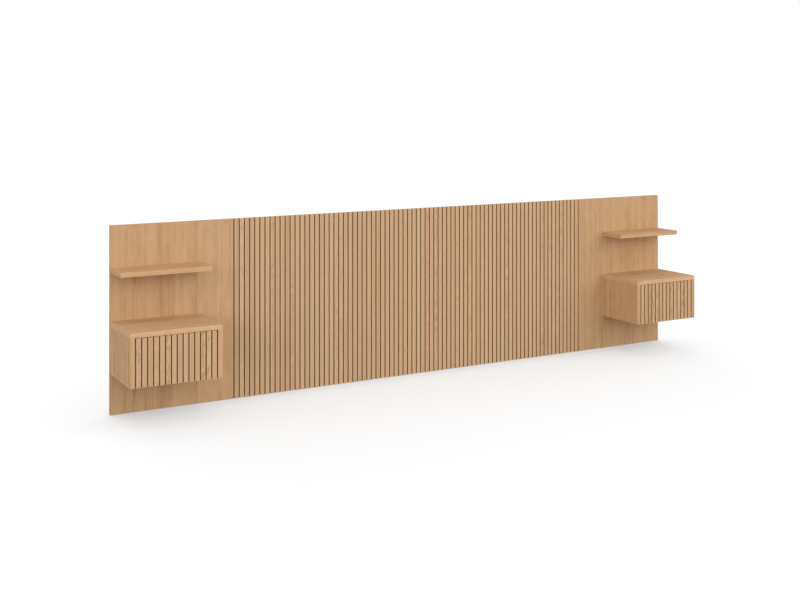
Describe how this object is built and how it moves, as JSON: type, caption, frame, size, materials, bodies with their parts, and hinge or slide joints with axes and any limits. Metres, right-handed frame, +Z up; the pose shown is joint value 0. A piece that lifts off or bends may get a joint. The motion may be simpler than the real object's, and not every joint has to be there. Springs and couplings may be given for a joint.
{
  "type": "headboard with nightstands",
  "caption": "Wide wall-hung wooden headboard with slatted middle panels, plain side panels, floating shelves and slat-fronted drawer nightstands that slide open.",
  "frame": {"origin": "on the wall, midway along the headboard, at half the height of the wall rails' back face", "axes": "+X along the wall to the right as seen from the room, +Y into the wall, +Z up"},
  "size_m": [3.07, 0.318, 0.808],
  "materials": {
    "oak_panel": "matt oiled oak veneer",
    "oak_slat": "matt oiled oak",
    "oak_case": "matt oiled oak veneer",
    "dark_backing": "dark stained board",
    "plywood": "raw plywood",
    "birch": "lacquered birch plywood",
    "slide_steel": "zinc-plated",
    "zinc_steel": "zinc-plated"
  },
  "bodies": {
    "headboard": {"left_case_back": "oak_case", "left_case_bottom": "oak_case", "left_case_inner_side": "oak_case", "left_case_outer_side": "oak_case", "left_case_top": "oak_case", "left_inner_slide_case_member": "slide_steel", "left_outer_slide_case_member": "slide_steel", "left_shelf": "oak_case", "left_side_cleat": "plywood", "left_side_panel": "oak_panel", "left_side_wall_rail": "plywood", "left_slat_backer": "dark_backing", "left_slat_cleat": "plywood", "left_slat_wall_rail": "plywood", "left_slats": "oak_slat", "lower_spacers": "plywood", "panel_screws": "zinc_steel", "right_case_back": "oak_case", "right_case_bottom": "oak_case", "right_case_inner_side": "oak_case", "right_case_outer_side": "oak_case", "right_case_top": "oak_case", "right_inner_slide_case_member": "slide_steel", "right_outer_slide_case_member": "slide_steel", "right_shelf": "oak_case", "right_side_cleat": "plywood", "right_side_panel": "oak_panel", "right_side_wall_rail": "plywood", "right_slat_backer": "dark_backing", "right_slat_cleat": "plywood", "right_slat_wall_rail": "plywood", "right_slats": "oak_slat"},
    "left_drawer": {"left_drawer_back": "birch", "left_drawer_bottom": "birch", "left_drawer_box_front": "birch", "left_drawer_front_backer": "dark_backing", "left_drawer_front_screws": "zinc_steel", "left_drawer_inner_side": "birch", "left_drawer_outer_side": "birch", "left_drawer_slats": "oak_slat", "left_inner_slide_drawer_member": "slide_steel", "left_outer_slide_drawer_member": "slide_steel"},
    "left_slide_middles": {"left_inner_slide_middle_member": "slide_steel", "left_outer_slide_middle_member": "slide_steel"},
    "right_drawer": {"right_drawer_back": "birch", "right_drawer_bottom": "birch", "right_drawer_box_front": "birch", "right_drawer_front_backer": "dark_backing", "right_drawer_front_screws": "zinc_steel", "right_drawer_inner_side": "birch", "right_drawer_outer_side": "birch", "right_drawer_slats": "oak_slat", "right_inner_slide_drawer_member": "slide_steel", "right_outer_slide_drawer_member": "slide_steel"},
    "right_slide_middles": {"right_inner_slide_middle_member": "slide_steel", "right_outer_slide_middle_member": "slide_steel"}
  },
  "joints": [
    {"name": "left_drawer_slide", "type": "slide", "parent": "headboard", "child": "left_drawer", "axis": [0, -1, 0], "range_m": [0, 0.25]},
    {"name": "left_slide_extension", "type": "slide", "parent": "headboard", "child": "left_slide_middles", "axis": [0, -1, 0], "range_m": [0, 0.125]},
    {"name": "right_drawer_slide", "type": "slide", "parent": "headboard", "child": "right_drawer", "axis": [0, -1, 0], "range_m": [0, 0.25]},
    {"name": "right_slide_extension", "type": "slide", "parent": "headboard", "child": "right_slide_middles", "axis": [0, -1, 0], "range_m": [0, 0.125]}
  ],
  "couplings": [
    {"joint": "left_slide_extension", "follows": "left_drawer_slide", "ratio": 0.5},
    {"joint": "right_slide_extension", "follows": "right_drawer_slide", "ratio": 0.5}
  ]
}
